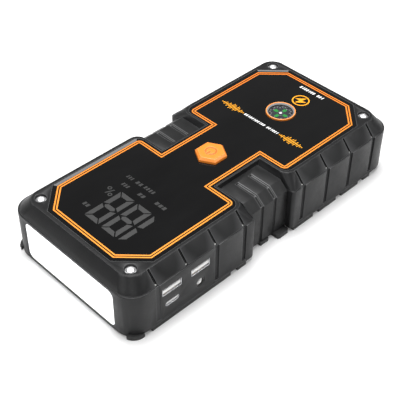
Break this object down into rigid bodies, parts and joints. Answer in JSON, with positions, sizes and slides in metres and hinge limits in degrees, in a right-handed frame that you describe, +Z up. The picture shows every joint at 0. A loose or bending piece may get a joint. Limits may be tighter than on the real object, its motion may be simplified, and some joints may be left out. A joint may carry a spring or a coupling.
{
  "type": "jump starter pack",
  "caption": "Slim box-shaped car jump starter with a narrowed grip waist, end lamp, charging sockets, glass top with display, hexagonal power button and built-in compass.",
  "frame": {"origin": "centre of the resting plane, under the middle of the pack", "axes": "+X along the pack, away from the lamp end; +Y across it, away from the charging sockets; +Z up"},
  "size_m": [0.1928, 0.0924, 0.0362],
  "materials": {
    "case": "fine-grained moulded",
    "grip": "soft moulded",
    "panel": "polished black",
    "tape": "adhesive foam",
    "orange_line": "printed line",
    "orange_cap": "satin moulded",
    "symbol": "printed",
    "silicone": "translucent silicone",
    "black_part": "moulded",
    "clear": "polished clear",
    "dial": "printed silver",
    "steel": "nickel plated",
    "chrome": "bright plated",
    "brass": "turned",
    "rubber": "moulded",
    "lamp_white": "opal diffuser",
    "white_part": "moulded white",
    "circuit": "solder mask",
    "led": "phosphor",
    "cell_pouch": "laminate foil",
    "foam": "closed-cell foam",
    "socket_blue": "moulded blue"
  },
  "bodies": {
    "pack": {"lower_housing": "case", "top_cover": "case", "shell_seal": "silicone", "near_grip": "grip", "far_grip": "grip", "cover_screws": "chrome", "threaded_inserts": "brass", "near_skid": "rubber", "far_skid": "rubber", "glass_panel": "panel", "glass_tape": "tape", "border_lines": "orange_line", "display_module": "black_part", "return_spring": "silicone", "button_switch": "black_part", "compass_cup": "black_part", "compass_ring": "orange_cap", "compass_lens": "clear", "compass_pivot": "steel", "lamp_lens": "lamp_white", "lamp_reflector": "white_part", "lamp_board": "circuit", "lamp_leds": "led", "usb_a_shells": "steel", "usb_a_tongues": "white_part", "usb_c_shell": "steel", "usb_c_tongue": "black_part", "dc_socket": "black_part", "dc_pin": "steel", "port_board": "circuit", "main_board": "circuit", "board_parts": "black_part", "board_screws": "steel", "battery_cells": "cell_pouch", "cell_pads": "foam", "cell_tabs": "steel", "bus_bars": "brass", "clamp_socket": "socket_blue", "socket_sleeves": "brass", "flap_pin": "steel"},
    "button": {"power_button": "orange_cap", "power_symbol": "symbol"},
    "compass_dial": {"compass_card": "dial", "compass_magnet": "steel"},
    "flap": {"socket_flap": "rubber"}
  },
  "joints": [
    {"name": "power_button_press", "type": "slide", "parent": "pack", "child": "button", "axis": [0, 0, -1], "range_m": [0, 0.0008], "stiffness_N_per_m": 800, "springref_m": -0.0015, "deforming": ["return_spring"]},
    {"name": "compass_turn", "type": "hinge", "parent": "pack", "child": "compass_dial", "pos_m": [0.0544, 0, 0.032], "axis": [0, 0, 1], "continuous": true},
    {"name": "flap_hinge", "type": "hinge", "parent": "pack", "child": "flap", "pos_m": [0.0952, 0.0127, 0.0145], "axis": [0, 0, 1], "range_deg": [0, 100]}
  ]
}
